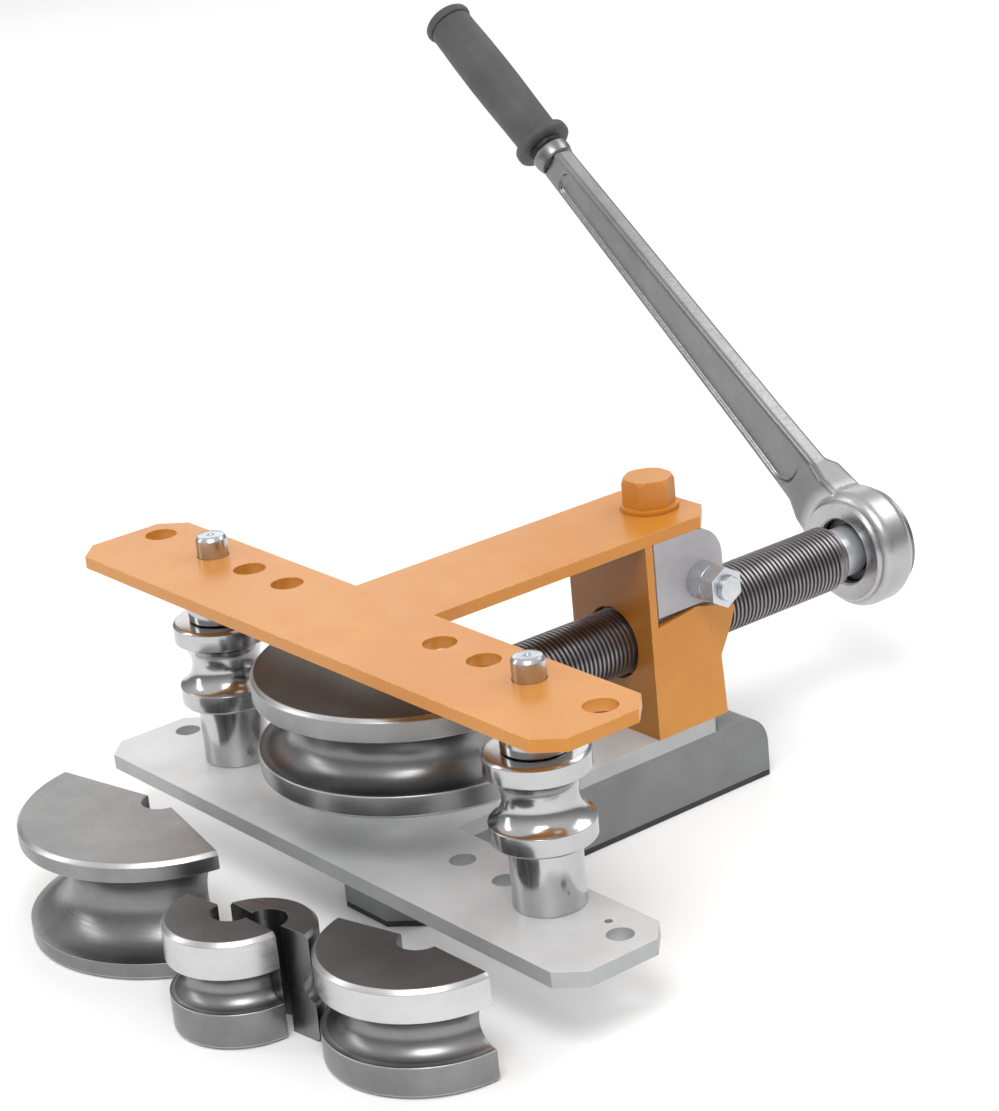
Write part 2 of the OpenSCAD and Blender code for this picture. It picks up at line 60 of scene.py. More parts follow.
def camera_matrix():
    """Columns are the camera's right, up and back, turned about its own axis by ROLL."""
    a, e, r = (math.radians(x) for x in (AZIMUTH, ELEVATION, ROLL))
    right = Vector((math.cos(a), math.sin(a), 0))
    back = Vector((math.sin(a) * math.cos(e), -math.cos(a) * math.cos(e), math.sin(e)))
    up = back.cross(right)
    rolled_right = right * math.cos(r) - up * math.sin(r)
    rolled_up = right * math.sin(r) + up * math.cos(r)
    m = Matrix((rolled_right, rolled_up, back)).transposed().to_4x4()
    m.translation = CAMERA_AT
    return m


cam_data = bpy.data.cameras.new("camera")
cam_data.sensor_width = SENSOR
cam_data.lens = LENS
camera = bpy.data.objects.new("camera", cam_data)
camera.matrix_world = camera_matrix()
bpy.context.scene.collection.objects.link(camera)
bpy.context.scene.camera = camera
bpy.context.scene.view_settings.view_transform = "Standard"

# ---------------------------------------------------------------- materials


def srgb(r, g, b):
    """A colour given as it is seen on a screen, 0 to 255, in linear light."""

    def linear(c):
        return c / 12.92 if c <= 0.04045 else ((c + 0.055) / 1.055) ** 2.4

    return tuple(linear(x / 255) for x in (r, g, b)) + (1.0,)


class Graph:
    """A material's nodes, made in short calls."""

    def __init__(self, name):
        self.material = bpy.data.materials.new(name)
        self.material.use_nodes = True
        self.nt = self.material.node_tree
        self.shader = self.nt.nodes["Principled BSDF"]
        self.coords = self.nt.nodes.new("ShaderNodeTexCoord").outputs["Object"]

    def set(self, **values):
        """Sets the shader's own inputs. An underscore stands for a space in their names."""
        for key, value in values.items():
            self.shader.inputs[key.replace("_", " ")].default_value = value
        return self

    def link(self, output, socket):
        self.nt.links.new(output, self.shader.inputs[socket])

    def mapped(self, scale):
        node = self.nt.nodes.new("ShaderNodeMapping")
        node.inputs["Scale"].default_value = scale
        self.nt.links.new(self.coords, node.inputs["Vector"])
        return node.outputs["Vector"]

    def radius(self, axes):
        """The distance from the piece's own axis that isn't one of the two axes."""
        parts = self.nt.nodes.new("ShaderNodeSeparateXYZ")
        self.nt.links.new(self.coords, parts.inputs[0])
        flat = self.nt.nodes.new("ShaderNodeCombineXYZ")
        for axis in axes:
            self.nt.links.new(parts.outputs[axis], flat.inputs[axis])
        length = self.nt.nodes.new("ShaderNodeVectorMath")
        length.operation = "LENGTH"
        self.nt.links.new(flat.outputs[0], length.inputs[0])
        return length.outputs["Value"]

    def rings(self):
        """Coordinates that are the same all the way round the piece's own Z axis: radius and height."""
        parts = self.nt.nodes.new("ShaderNodeSeparateXYZ")
        self.nt.links.new(self.coords, parts.inputs[0])
        both = self.nt.nodes.new("ShaderNodeCombineXYZ")
        self.nt.links.new(self.radius("XY"), both.inputs["X"])
        self.nt.links.new(parts.outputs["Z"], both.inputs["Y"])
        return both.outputs[0]

    def noise(self, scale, detail=2, rough=0.5, at=None):
        node = self.nt.nodes.new("ShaderNodeTexNoise")
        node.inputs["Scale"].default_value = scale
        node.inputs["Detail"].default_value = detail
        node.inputs["Roughness"].default_value = rough
        self.nt.links.new(self.coords if at is None else at, node.inputs["Vector"])
        return node.outputs["Fac"]

    def ramp(self, fac, *stops):
        """A colour ramp over (position, colour or grey level) stops."""
        node = self.nt.nodes.new("ShaderNodeValToRGB")
        spots = node.color_ramp.elements
        while len(spots) < len(stops):
            spots.new(0.5)
        for spot, (at, colour) in zip(spots, stops):
            spot.position = at
            spot.color = colour if hasattr(colour, "__len__") else (colour, colour, colour, 1)
        self.nt.links.new(fac, node.inputs["Fac"])
        return node.outputs["Color"]

    def mix(self, fac, a, b):
        """Goes from a to b with fac. Each may be a value or another node's output."""
        node = self.nt.nodes.new("ShaderNodeMix")
        node.data_type = "RGBA"
        for value, socket in ((fac, node.inputs["Factor"]), (a, node.inputs[6]), (b, node.inputs[7])):
            if hasattr(value, "is_output"):
                self.nt.links.new(value, socket)
            else:
                socket.default_value = value
        return node.outputs[2]

    def bump(self, height, distance, strength):
        """Adds a bump on top of any the shader has already."""
        node = self.nt.nodes.new("ShaderNodeBump")
        node.inputs["Distance"].default_value = distance
        node.inputs["Strength"].default_value = strength
        previous = self.shader.inputs["Normal"].links
        if previous:
            self.nt.links.new(previous[0].from_socket, node.inputs["Normal"])
        self.nt.links.new(height, node.inputs["Height"])
        self.link(node.outputs[0], "Normal")
        return self


def paint(name, dark, light, edge=None):
    """Glossy enamel with a slight orange peel. On edge faces the paint is thinner and lighter in places."""
    g = Graph(name).set(Coat_Weight=0.55, Coat_Roughness=0.28, Coat_IOR=1.55, Specular_IOR_Level=0.15)
    colour = g.ramp(g.noise(9, 3, 0.6), (0.35, dark), (0.65, light))
    if edge:
        worn = g.ramp(g.noise(260, 5, 0.7), (0.52, 0), (0.60, 1))
        colour = g.mix(worn, colour, edge)
    specks = g.ramp(g.noise(700, 3), (0.27, 0), (0.33, 1))
    g.link(g.mix(specks, tuple(0.72 * c for c in dark[:3]) + (1,), colour), "Base Color")
    g.link(g.ramp(g.noise(30, 4, 0.65), (0.3, 0.30), (0.7, 0.46)), "Roughness")
    g.bump(g.noise(420, 2), 0.0002, 0.2)
    return g.material


def steel(name, dark, light, rough, turned=False, grain=(1, 1, 1), bump=0.15, metallic=1.0):
    """Bare or plated metal. Turned pieces have fine rings, others a grain that a small scale draws out."""
    g = Graph(name).set(Metallic=metallic)
    at = g.rings() if turned else g.mapped(grain)
    g.link(g.ramp(g.noise(24, 4, 0.6), (0.3, dark), (0.7, light)), "Base Color")
    lines = g.noise(900 if turned else 500, 3, 0.6, at)
    g.link(g.ramp(lines, (0.3, rough[0]), (0.7, rough[1])), "Roughness")
    g.bump(lines, 0.00005, bump)
    return g.material


def cast(name, dark, light, rough, grain=600, coat=0.0):
    """Cast or moulded skin: blotches, a fine pebble grain and pits."""
    depth = 0.0004
    g = Graph(name).set(Metallic=0.0, Coat_Weight=coat, Coat_Roughness=0.25)
    g.link(g.ramp(g.noise(26, 5, 0.65), (0.32, dark), (0.68, light)), "Base Color")
    g.link(g.ramp(g.noise(90, 4, 0.6), (0.3, rough[0]), (0.7, rough[1])), "Roughness")
    g.bump(g.noise(grain, 4, 0.6), depth, 0.35)
    g.bump(g.ramp(g.noise(grain * 0.4, 2), (0.30, 0), (0.38, 1)), depth, 0.2)
    return g.material


def milled(name, level):
    """A former's flat faces, in grey."""
    brighter = level + 16
    return steel(name, srgb(level, level, level), srgb(brighter, brighter, brighter), (0.36, 0.5),
                 metallic=0.75)


def forging(name, bar, head, head_r):
    """Satin chrome. bar and head hold two tones each; the head lies within head_r of the piece's Y axis. The
    head's lighter tones are painted light on the one metal.
    """
    g = Graph(name).set(Metallic=1.0)
    patches = g.noise(24, 4, 0.6)
    bar_tone = g.ramp(patches, (0.3, bar[0]), (0.7, bar[1]))
    lit_head_tone = g.ramp(patches, (0.3, head[0]), (0.7, head[1]))
    on_bar = g.ramp(g.radius("XZ"), (head_r, 0), (head_r + 0.003, 1))
    g.link(g.mix(on_bar, lit_head_tone, bar_tone), "Base Color")
    lines = g.noise(500, 3, 0.6)
    g.link(g.ramp(lines, (0.3, 0.28), (0.7, 0.4)), "Roughness")
    g.bump(lines, 0.00005, 0.06)
    return g.material


ORANGE = (srgb(197, 125, 40), srgb(204, 135, 50))
BAR_TONES = (srgb(124, 124, 125), srgb(142, 142, 143))
# The head's tones are lighter than the bar's, though the forging is one chrome: painted light on the head, used
# also for the ring set in it.
HEAD_LIT_TONES = (srgb(178, 178, 179), srgb(194, 194, 195))
HEAD_R = 41.0
MATS = {
    "sole_rubber": cast("sole_rubber", srgb(48, 48, 50), srgb(62, 62, 64), (0.7, 0.85)),
    "plate_zinc": steel("plate_zinc", srgb(204, 205, 206), srgb(218, 219, 220), (0.36, 0.5),
                        grain=(0.08, 1.2, 1), metallic=0.25),
    "orange_paint": paint("orange_paint", *ORANGE),
    "cast_grey": cast("cast_grey", srgb(154, 151, 154), srgb(172, 169, 172), (0.34, 0.5), coat=0.2),
    "bronze": steel("bronze", srgb(168, 122, 62), srgb(196, 148, 82), (0.25, 0.4)),
    "steel_bright": steel("steel_bright", srgb(176, 179, 184), srgb(200, 203, 208), (0.18, 0.3),
                          turned=True),
    "roller_chrome": steel("roller_chrome", srgb(176, 176, 177), srgb(192, 192, 193), (0.13, 0.21),
                           turned=True, bump=0.1),
    "screw_steel": steel("screw_steel", srgb(132, 128, 130), srgb(154, 150, 152), (0.3, 0.42), turned=True),
    "black_steel": steel("black_steel", srgb(64, 64, 66), srgb(84, 84, 86), (0.3, 0.45)),
    "thrust_steel": steel("thrust_steel", srgb(128, 128, 130), srgb(150, 150, 152), (0.3, 0.45)),
    "former_iron": steel("former_iron", srgb(126, 126, 127), srgb(148, 148, 149), (0.27, 0.39),
                         turned=True),
    "handle_chrome": steel("handle_chrome", *BAR_TONES, (0.28, 0.4), bump=0.06),
    "grip_rubber": cast("grip_rubber", srgb(70, 70, 71), srgb(86, 86, 87), (0.5, 0.66), grain=900),
}
FACE_LIGHT = milled("former_face_light", 146)
FACE_MID = milled("former_face_mid", 87)
FACE_DARK = milled("former_face_dark", 96)
# Bright machined steel, used only on upper flange walls, where its lightness is also a painted highlight.
WALL = steel("former_wall", srgb(190, 190, 191), srgb(206, 206, 207), (0.26, 0.36), turned=True, bump=0.1)
# A darker copy of the plate's zinc for its sides: painted shade.
PLATE_SIDE_SHADE = steel("plate_side_shade", srgb(166, 167, 168), srgb(182, 183, 184), (0.4, 0.55), metallic=0.3)
FOOT_STEEL = steel("foot_steel", srgb(118, 119, 120), srgb(134, 135, 136), (0.36, 0.5), metallic=0.4)
NECK_STEEL = steel("neck_steel", srgb(206, 207, 209), srgb(222, 223, 225), (0.26, 0.36), turned=True,
                   bump=0.05, metallic=0.55)
PLATED = steel("steel_plated", srgb(184, 187, 191), srgb(206, 208, 212), (0.24, 0.34),
               grain=(0.3, 0.3, 0.3), bump=0.03, metallic=0.85)
FORGING = forging("handle_forging", BAR_TONES, HEAD_LIT_TONES, (HEAD_R + 0.5) * MM)
RING_CHROME = steel("ring_chrome", *HEAD_LIT_TONES, (0.26, 0.36), bump=0.06)
# Lighter metal for the formers' rim chamfers: a painted highlight along the rims.
RIM_HIGHLIGHT = steel("former_rim_highlight", srgb(176, 176, 177), srgb(204, 204, 205), (0.25, 0.4), turned=True,
                 bump=0.2)
ORANGE_EDGE = paint("orange_edge", *ORANGE, edge=srgb(226, 172, 112))
# A darker copy of the orange paint for the bracket's front face: painted shade, for the shade under the top plate.
ORANGE_PAINTED_SHADE = paint("orange_painted_shade", srgb(160, 101, 30), srgb(170, 110, 36))

# ---------------------------------------------------------------- mesh helpers


def shade(mesh, sharp):
    """Smooth shading, with edges of more than sharp degrees left sharp."""
    mesh.polygons.foreach_set("use_smooth", [True] * len(mesh.polygons))
    mesh.set_sharp_from_angle(angle=math.radians(sharp))


def piece(name, bm, replaced, slot=None, mats=None, place=None, sharp=32, weighted=False):
    """A new object from bm, moved to place, that stands for the replaced CAD nodes and rides their body."""
    mesh = bpy.data.meshes.new(name)
    bmesh.ops.recalc_face_normals(bm, faces=bm.faces)
    bm.to_mesh(mesh)
    bm.free()
    slot = slot or SLOTS[replaced[0]]
    for m in mats or [MATS[slot]]:
        mesh.materials.append(m)
    shade(mesh, sharp)
    obj = bpy.data.objects.new(name, mesh)
    bpy.context.scene.collection.objects.link(obj)
    if place is not None:
        obj.matrix_world = place
    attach(obj, BODY[replaced[0]])
    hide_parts(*replaced)
    if weighted:
        w = obj.modifiers.new("weighted", "WEIGHTED_NORMAL")
        w.keep_sharp = True
    return obj


def fillet(points, r, closed=False, steps=4, least=18):
    """Rounds the corners of an outline of (a, b) points, by r at most."""
    out, n = [], len(points)
    for i, p in enumerate(points):
        if not closed and i in (0, n - 1):
            out.append(Vector(p))
            continue
        p, a, b = Vector(p), Vector(points[i - 1]), Vector(points[(i + 1) % n])
        u, v = a - p, b - p
        turn = math.pi - u.angle(v, math.pi)
        if turn < math.radians(least):
            out.append(p)
            continue
        reach = min(r * math.tan(turn / 2), 0.42 * u.length, 0.42 * v.length)
        s, e = p + u.normalized() * reach, p + v.normalized() * reach
        for k in range(steps + 1):
            t = k / steps
            out.append(s * (1 - t) ** 2 + p * 2 * t * (1 - t) + e * t ** 2)
    return out


def arc(cx, cy, r, start, end, steps=24):
    """Points of (cx, cy) plus r at angles from start to end, in degrees."""
    angles = [math.radians(start + (end - start) * k / steps) for k in range(steps + 1)]
    return [(cx + r * math.cos(a), cy + r * math.sin(a)) for a in angles]


def revolve(outline, segments, closed=False, start=0.0, sweep=360.0):
    """Turns an outline of (radius, z) in millimetres about Z. A closed outline makes a ring. A sweep under a
    full turn is closed with flat ends."""
    bm = bmesh.new()
    full = sweep >= 360
    count = segments if full else segments + 1
    rings = []
    for k in range(count):
        a = math.radians(start + sweep * k / segments)
        rings.append([None if r < 1e-6 else
                      bm.verts.new((r * math.cos(a) * MM, r * math.sin(a) * MM, z * MM))
                      for r, z in outline])
    for j, (r, z) in enumerate(outline):
        if r < 1e-6:
            pole = bm.verts.new((0, 0, z * MM))
            for ring in rings:
                ring[j] = pole
    n = len(outline)
    for k in range(segments):
        a, b = rings[k], rings[(k + 1) % count]
        for j in range(n if closed else n - 1):
            corner = []
            for v in (a[j], b[j], b[(j + 1) % n], a[(j + 1) % n]):
                if v not in corner:
                    corner.append(v)
            if len(corner) > 2:
                bm.faces.new(corner)
    if not full:
        bm.faces.new(rings[0])
        bm.faces.new(rings[-1][::-1])
    return bm


def at(x, y, z, axis=(0, 0, 1)):
    """Places a piece's own Z along axis at a point in millimetres."""
    m = Vector((0, 0, 1)).rotation_difference(Vector(axis)).to_matrix().to_4x4()
    m.translation = Vector((x, y, z)) * MM
    return m


def prism(sides, r, depth, x, y, z):
    """An upright prism or cylinder whose middle is at x, y, z."""
    bm = bmesh.new()
    bmesh.ops.create_cone(bm, cap_ends=True, segments=sides, radius1=r * MM, radius2=r * MM,
                          depth=depth * MM, matrix=Matrix.Translation((x * MM, y * MM, z * MM)))
    return bm


def cad_copy(node):
    """The CAD node's mesh with its corners joined and its flat faces whole."""
    bm = bmesh.new()
    bm.from_mesh(NODES[node].data)
    bmesh.ops.remove_doubles(bm, verts=bm.verts, dist=1e-6)
    bmesh.ops.dissolve_limit(bm, angle_limit=math.radians(0.8), verts=bm.verts, edges=bm.edges)
    return bm


def bevel(bm, width, segments=2, material=-1, least=28):
    """Rounds the edges that turn by more than least degrees. The new faces take the material's number."""
    edges = [e for e in bm.edges if len(e.link_faces) == 2 and e.calc_face_angle(0) > math.radians(least)]
    bmesh.ops.bevel(bm, geom=edges, offset=width * MM, segments=segments, profile=0.5, affect="EDGES",
                    clamp_overlap=True, material=material, harden_normals=False)
    return bm


def cut(bm, tool):
    """bm with tool cut away from it. Both are closed; both are used up."""
    objs = []
    for one in (bm, tool):
        bmesh.ops.recalc_face_normals(one, faces=one.faces)
        mesh = bpy.data.meshes.new("tool")
        one.to_mesh(mesh)
        one.free()
        objs.append(bpy.data.objects.new("tool", mesh))
        bpy.context.scene.collection.objects.link(objs[-1])
    m = objs[0].modifiers.new("cut", "BOOLEAN")
    m.operation = "DIFFERENCE"
    m.object = objs[1]
    m.solver = "EXACT"
    out = evaluated(objs[0])
    for o in objs:
        bpy.data.objects.remove(o)
    return out


def evaluated(obj):
    """A new bmesh of obj with its modifiers applied."""
    graph = bpy.context.evaluated_depsgraph_get()
    graph.update()
    found = obj.evaluated_get(graph)
    bm = bmesh.new()
    bm.from_mesh(found.to_mesh())
    found.to_mesh_clear()
    return bm


def refined(node, width, segments=2, mats=None, material=-1):
    """Stands for a CAD node with the same shape and rounded edges."""
    bm = bevel(cad_copy(node), width, segments, material)
    if mats is None and SLOTS[node] == "steel_bright":
        mats = [PLATED]
    return piece(node + "_finished", bm, [node], mats=mats, weighted=True)


# ---------------------------------------------------------------- frame and block

PAINTED = [MATS["orange_paint"], ORANGE_EDGE]
refined("top_plate", 0.9, 3, mats=PAINTED, material=1)
plate = refined("bottom_plate", 0.9, 3, mats=[MATS["plate_zinc"], PLATE_SIDE_SHADE])
# Faces of the plate that are not flat take the darker zinc: painted shade on the sides of the one plate.
for polygon in plate.data.polygons:
    polygon.material_index = int(abs(polygon.normal.z) < 0.5)
refined("base_foot", 1.2, 3, mats=[FOOT_STEEL])
refined("base_sole", 0.8, 2)
bracket = refined("nut_bracket", 0.9, 3, mats=PAINTED + [ORANGE_PAINTED_SHADE], material=1)
# Faces of the bracket that look to -Y take the darker orange: painted shade.
for polygon in bracket.data.polygons:
    if polygon.normal.y < -0.95:
        polygon.material_index = 2
refined("nut_block", 2.0, 4)
refined("top_bolt", 0.8, 3, mats=PAINTED, material=1)
refined("top_bolt_washer", 0.6, 2)
refined("cross_bolt_bar", 0.9, 3)
refined("cross_bolt_nut", 0.9, 3)
refined("cross_bolt_collars", 0.8, 3)
refined("thrust_head", 1.0, 3)
refined("former_shelf", 0.8, 2)
refined("ratchet_cover", 0.6, 2)
refined("selector_lever", 0.8, 3)
refined("cover_screws", 0.4, 2)
refined("drive_nut", 0.6, 2)
refined("ratchet_gear", 0.4, 2)
refined("pawl", 0.4, 2)
refined("spindle_nut", 0.6, 2)
refined("thrust_washer", 0.5, 2)
refined("former_peg", 0.9, 3)
for node in ("shelf_screws", "head_set_screw", "drive_washer", "bracket_screws", "pawl_pin",
             "roller_bush_left", "roller_bush_right"):
    refined(node, 0.3)

FOOT_SCREW_X, FOOT_SCREW_Y, SOCKET_FLATS, SOCKET_DEEP = 22, -60, 6.0, 4.0
screws = bevel(cad_copy("foot_screws"), 0.3)
head_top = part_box("foot_screws")[1].z / MM
for x in (-FOOT_SCREW_X, FOOT_SCREW_X):
    key_hole = prism(6, SOCKET_FLATS / math.sqrt(3), 2 * SOCKET_DEEP, x, FOOT_SCREW_Y, head_top)
    screws = cut(screws, key_hole)
piece("foot_screws_finished", screws, ["foot_screws"])

# ---------------------------------------------------------------- rollers, spacers and pins


def middle(node):
    """The middle of the CAD node's box in millimetres."""
    low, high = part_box(node)
    return [c / MM for c in (low + high) / 2]


def ring(node, outline, corner, segments=112):
    """An upright turned piece with rounded corners. Its outline of (radius, height) goes round its wall."""
    bm = revolve(fillet(outline, corner, closed=True), segments, closed=True)
    return piece(node + "_turned", bm, [node], place=at(*middle(node)))


BUSH_R, WAIST_R, FLANGE_R, FLANGE_CUT = 13.0, 22.3, 31.5, 1.7
GROOVE_R, ROLLER_HALF = 17.6, 28.0
groove_x = WAIST_R + GROOVE_R
groove_end = 180 - math.degrees(math.acos((groove_x - FLANGE_R) / GROOVE_R))
ROLLER = ([(BUSH_R, -ROLLER_HALF), (FLANGE_R - FLANGE_CUT, -ROLLER_HALF),
           (FLANGE_R, -ROLLER_HALF + FLANGE_CUT)]
          + arc(groove_x, 0, GROOVE_R, 360 - groove_end, groove_end, 36)
          + [(FLANGE_R, ROLLER_HALF - FLANGE_CUT), (FLANGE_R - FLANGE_CUT, ROLLER_HALF),
             (BUSH_R, ROLLER_HALF)])
PIN_BORE, PIN_R, PIN_FOOT_R, PIN_SHOULDER = 10.15, 10, 8, 56
SPACERS = {"lower": 21.7, "upper": 20.5}
for side in ("left", "right"):
    ring(f"roller_{side}", ROLLER, 0.9, segments=144)
    for which, r in SPACERS.items():
        node = f"{which}_spacer_{side}"
        low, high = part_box(node)
        half = (high.z - low.z) / MM / 2
        ring(node, [(PIN_BORE, -half), (r, -half), (r, half), (PIN_BORE, half)], 1.1)
    node = f"roller_pin_{side}"
    low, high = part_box(node)
    foot, top = low.z / MM, high.z / MM
    x, y, _ = middle(node)
    pin = [(0, foot), (PIN_FOOT_R, foot), (PIN_FOOT_R, PIN_SHOULDER), (PIN_R, PIN_SHOULDER),
           (PIN_R, top - 2.6), (8.6, top - 0.5), (5.5, top), (2.2, top - 0.2), (1.6, top - 1.4),
           (0, top - 1.6)]
    piece(node + "_turned", revolve(fillet(pin, 0.7), 96), [node], place=at(x, y, 0))

# ---------------------------------------------------------------- formers

SEAT_R, RIM_CUT, PEG_OUT, PEG_HOLE_R, PEG_HOLE_DEEP = 13.0, 2.47, 24.0, 5.2, 19.0


def former(node, flange_r, h, groove_r, bend, slope, place, face, wall, turn=0):
    """A grooved half disc with a half round seat on its axis. Its back faces fall away by slope degrees. The
    top and bottom take the material face, the upper and the lower flange take wall's two. A lighter upper
    flange wall is a painted highlight, over a machined finish where it is the bright steel."""
    lip = [flange_r] if flange_r - bend > 0.3 else []
    outline = ([(SEAT_R, -h / 2), (flange_r - RIM_CUT, -h / 2), (flange_r, -h / 2 + RIM_CUT)]
               + [(r, -groove_r) for r in lip] + arc(bend, 0, groove_r, -90, -270, 32)
               + [(r, groove_r) for r in lip]
               + [(flange_r, h / 2 - RIM_CUT), (flange_r - RIM_CUT, h / 2), (SEAT_R, h / 2)])
    bm = revolve(fillet(outline, 0.9, closed=True), 56, closed=True, start=180 + slope,
                 sweep=180 - 2 * slope)
    bmesh.ops.recalc_face_normals(bm, faces=bm.faces)
    ends = [f for f in bm.faces if len(f.verts) > 8]
    rims = list({e for f in ends for e in f.edges})
    bmesh.ops.bevel(bm, geom=rims, offset=0.7 * MM, segments=3, profile=0.5, affect="EDGES",
                    clamp_overlap=True)
    bm = cut(bm, prism(48, PEG_HOLE_R, 2 * PEG_HOLE_DEEP, 0, -PEG_OUT, -h / 2))
    for f in bm.faces:
        n, c = f.normal, f.calc_center_median() / MM
        out = c.xy.length
        if abs(n.z) > 0.97 and abs(c.z) > h / 2 - 1:
            f.material_index = 1
        # Upper flange walls take wall[0] and lower ones wall[1]; a lighter wall[0] is a painted highlight on the
        # upper flange.
        elif out > flange_r - 0.2 and abs(n.z) < 0.1:
            f.material_index = 2 if c.z > 0 else 3
        # Chamfer faces near the rims take the lighter rim metal: a painted highlight.
        elif out > flange_r - RIM_CUT - 1 and abs(c.z) > groove_r - 0.5 and n.xy.length > 0.1:
            f.material_index = 4
    bm.transform(Matrix.Rotation(math.radians(turn), 4, "Z"))
    mats = [MATS["former_iron"], face, wall[0], wall[1], RIM_HIGHLIGHT]
    return piece(node + "_turned", bm, [node], mats=mats, place=place)


TUBE_Z, FORMER_Y = 125.0, -99.0
IRON = MATS["former_iron"]
# Upper flange walls lighter than the lower ones (light face grey, bright steel): a painted highlight on the upper
# flanges.
former("former_mounted", 98, 64, 17.0, 94, 8, at(0, FORMER_Y, TUBE_Z), FACE_DARK, (FACE_LIGHT, IRON))
former("former_large", 90.5, 77, 27, 90, 12, at(-97, -227, 38.5), FACE_LIGHT, (IRON, IRON))
former("former_small", 42, 68, 11, 42, 3, at(47, -274, 34), FACE_MID, (WALL, IRON), 4)
former("former_medium", 61, 67, 13.5, 61, 7, at(156, -222, 33.5), FACE_DARK, (WALL, IRON), 8)
refined("former_mini", 0.7, 2)

# ---------------------------------------------------------------- screw

LEAD, CREST, ROOT, THREAD_LEN, THREAD_Y = 7.0, 21.95, 20.15, 308.5, -56.0
SCREW_Z = 114.0
RATCHET = Vector(next(j for j in frame["joints"] if j["name"] == "handle_swing")["pos_m"]) / MM


def thread(segments=80, runout=0.35):
    """A trapezoidal thread of two starts from z = 0 to THREAD_LEN, which fades in and out over a part of a
    turn."""
    bm = bmesh.new()
    last_step = int((THREAD_LEN / LEAD - 1) * segments)
    ridge = ((0.0, 0), (0.13, 0), (0.21, 1), (0.42, 1))
    shape = ridge + tuple((share + 0.5, up) for share, up in ridge)

    def vert(i, share, up):
        angle = 2 * math.pi * i / segments
        fade = min(1, (i + 1) / (runout * segments), (last_step + 1 - i) / (runout * segments))
        r = ROOT + (CREST - ROOT) * up * max(fade, 0.02)
        z = (i / segments + share) * LEAD
        return bm.verts.new((r * math.cos(angle) * MM, r * math.sin(angle) * MM, z * MM))

    helix = [[vert(i, s, u) for s, u in shape] if i <= last_step else [vert(i, 0, 0)]
             for i in range(last_step + segments + 1)]

    def end_ring(z, first, shared):
        """The rim of a flat end. Its first vertex is the helix's own."""
        out = [shared]
        for j in range(1, segments):
            a = 2 * math.pi * (first + j) / segments
            out.append(bm.verts.new((ROOT * math.cos(a) * MM, ROOT * math.sin(a) * MM, z * MM)))
        return out

    low = end_ring(0, 0, helix[0][0])
    high = end_ring((last_step / segments + 1) * LEAD, last_step, helix[-1][0])
    top = [row[0] for row in helix[last_step:]]
    bm.faces.new((low[0], low[1], helix[1][0]))
    for j in range(1, segments):
        bm.faces.new((low[j], low[(j + 1) % segments], helix[j + 1][0], helix[j][0]))
        bm.faces.new((top[j - 1], top[j], high[j], high[j - 1]))
    bm.faces.new((top[segments - 1], high[0], high[segments - 1]))
    for i in range(last_step):
        for k in range(len(shape) - 1):
            bm.faces.new((helix[i][k], helix[i + 1][k], helix[i + 1][k + 1], helix[i][k + 1]))
        bm.faces.new((helix[i][-1], helix[i + 1][-1], helix[i + 1 + segments][0], helix[i + segments][0]))
    bm.faces.new([*helix[0], helix[segments][0]])
    bm.faces.new([*helix[last_step], high[0]][::-1])
    bm.faces.new(low[::-1])
    bm.faces.new(high)
    return bm


def along_screw(outline, corner=0.6, segments=96):
    """A solid turned piece on the screw's axis, from an outline of (radius, y)."""
    return revolve(fillet(outline, corner), segments)


SCREW_AXIS = at(0, 0, SCREW_Z, axis=(0, 1, 0))
piece("spindle_thread", thread(), ["spindle"], place=at(0, THREAD_Y, SCREW_Z, axis=(0, 1, 0)), sharp=25)
end_y = THREAD_Y + THREAD_LEN
NECK_R, NECK_RELIEF_R, NECK_TO = 17, 15.5, RATCHET.y - 10
neck = [(0, end_y - 1), (NECK_RELIEF_R, end_y - 1), (NECK_RELIEF_R, end_y + 2.2), (NECK_R, end_y + 3.6),
        (NECK_R, NECK_TO), (0, NECK_TO)]
piece("spindle_neck", along_screw(neck), ["spindle"], slot="roller_chrome", mats=[NECK_STEEL],
      place=SCREW_AXIS)
spigot = [(0, -84), (10.8, -84), (12, -82.8), (12, -78), (9, -78), (9, -69), (12, -69), (12, -55.5),
          (0, -55.5)]
piece("spindle_spigot", along_screw(spigot, 0.4), ["spindle"], slot="steel_bright", place=SCREW_AXIS)
STUB_R, STUB_FROM, STUB_TO = 9.95, RATCHET.y + 8, RATCHET.y + 25
stub = [(0, STUB_FROM), (STUB_R, STUB_FROM), (STUB_R, STUB_TO - 1), (STUB_R - 1.15, STUB_TO), (0, STUB_TO)]
piece("spindle_stub", along_screw(stub), ["spindle"], slot="steel_bright", place=SCREW_AXIS)
SQUARE, SQUARE_LEN = 24, 19
square = bmesh.new()
bmesh.ops.create_cube(square, size=1, matrix=Matrix.Translation((0, (RATCHET.y - 0.5) * MM, SCREW_Z * MM))
                      @ Matrix.Diagonal((SQUARE * MM, SQUARE_LEN * MM, SQUARE * MM, 1)))
piece("spindle_square", bevel(square, 1.2, 3), ["spindle"], slot="steel_bright", weighted=True)

# ---------------------------------------------------------------- ratchet handle

HANDLE_ANGLE, HEAD_HALF, HEAD_ROLL = 38.4, 14.0, 8.0
GRIP_START, HANDLE_LEN = 388.0, 525.0
lean = math.radians(HANDLE_ANGLE)
HANDLE = Matrix(((math.sin(lean), 0, -math.cos(lean)), (0, 1, 0),
                 (math.cos(lean), 0, math.sin(lean)))).to_4x4()
HANDLE.translation = RATCHET * MM


